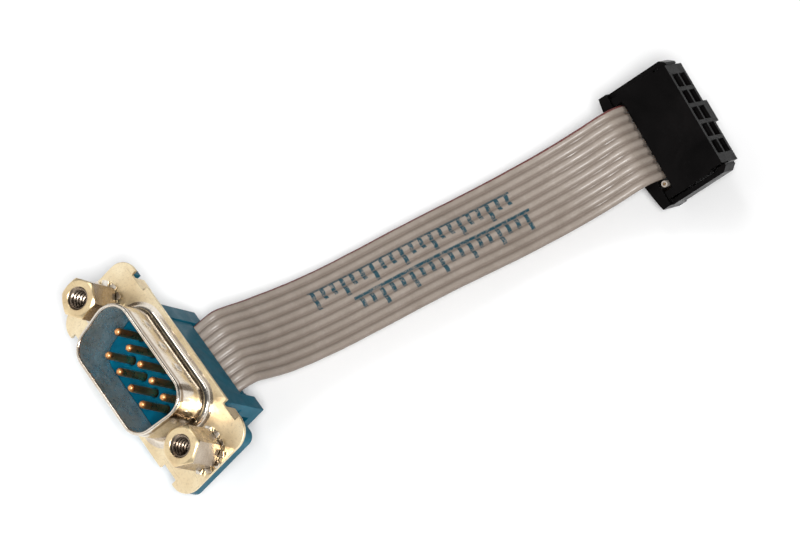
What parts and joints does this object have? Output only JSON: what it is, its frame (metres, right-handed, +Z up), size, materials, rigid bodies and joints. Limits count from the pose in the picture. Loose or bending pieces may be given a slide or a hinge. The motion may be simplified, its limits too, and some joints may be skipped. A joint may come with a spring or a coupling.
{
  "type": "serial port adapter cable",
  "caption": "Short grey flat ribbon between a blue D-shaped serial port plug with jackscrews and a black two-row pin header socket, lying on a table.",
  "frame": {"origin": "on the table, under the middle of the D-shaped plug", "axes": "+X along the plug's long side, +Y along the ribbon from the plug to the header socket, +Z up"},
  "size_m": [0.031, 0.0929, 0.0197],
  "materials": {
    "shell_steel": "pale yellow plated sheet steel, scuffed",
    "screw_steel": "yellow plated turned steel",
    "washer_steel": "plated spring steel",
    "nut_steel": "plated steel",
    "contact_brass": "gold flashed",
    "blue_plastic": "moulded, satin",
    "bright_blue_plastic": "moulded, satin",
    "black_plastic": "glass filled, moulded",
    "ribbon_grey": "soft vinyl insulation, satin"
  },
  "bodies": {
    "connector": {"front_shell": "shell_steel", "front_insulator": "bright_blue_plastic", "rear_body": "blue_plastic", "rear_cover": "blue_plastic", "plug_contact_1": "contact_brass", "plug_contact_2": "contact_brass", "plug_contact_3": "contact_brass", "plug_contact_4": "contact_brass", "plug_contact_5": "contact_brass", "plug_contact_6": "contact_brass", "plug_contact_7": "contact_brass", "plug_contact_8": "contact_brass", "plug_contact_9": "contact_brass", "threaded_insert_left": "nut_steel", "threaded_insert_right": "nut_steel", "ribbon_cable": "ribbon_grey", "conductor_stub": "ribbon_grey", "socket_body": "black_plastic", "socket_cover": "black_plastic", "socket_contact_1": "contact_brass", "socket_contact_2": "contact_brass", "socket_contact_3": "contact_brass", "socket_contact_4": "contact_brass", "socket_contact_5": "contact_brass", "socket_contact_6": "contact_brass", "socket_contact_7": "contact_brass", "socket_contact_8": "contact_brass", "socket_contact_9": "contact_brass", "socket_contact_10": "contact_brass"},
    "washer_left": {"lock_washer_left": "washer_steel"},
    "screw_left": {"jackscrew_left": "screw_steel"},
    "washer_right": {"lock_washer_right": "washer_steel"},
    "screw_right": {"jackscrew_right": "screw_steel"}
  },
  "joints": [
    {"name": "backing_out_left", "type": "slide", "parent": "connector", "child": "washer_left", "axis": [0, -0.6374, 0.7705], "range_m": [0, 0.00317]},
    {"name": "jackscrew_turn_left", "type": "hinge", "parent": "washer_left", "child": "screw_left", "pos_m": [-0.01249, -0.00175, 0.01214], "axis": [0, -0.6374, 0.7705], "range_deg": [0, 1801]},
    {"name": "backing_out_right", "type": "slide", "parent": "connector", "child": "washer_right", "axis": [0, -0.6374, 0.7705], "range_m": [0, 0.00317]},
    {"name": "jackscrew_turn_right", "type": "hinge", "parent": "washer_right", "child": "screw_right", "pos_m": [0.01249, -0.00175, 0.01214], "axis": [0, -0.6374, 0.7705], "range_deg": [0, 1801]}
  ],
  "couplings": [
    {"joint": "jackscrew_turn_left", "follows": "backing_out_left", "rad_per_m": 9894.8},
    {"joint": "jackscrew_turn_right", "follows": "backing_out_right", "rad_per_m": 9894.8}
  ]
}
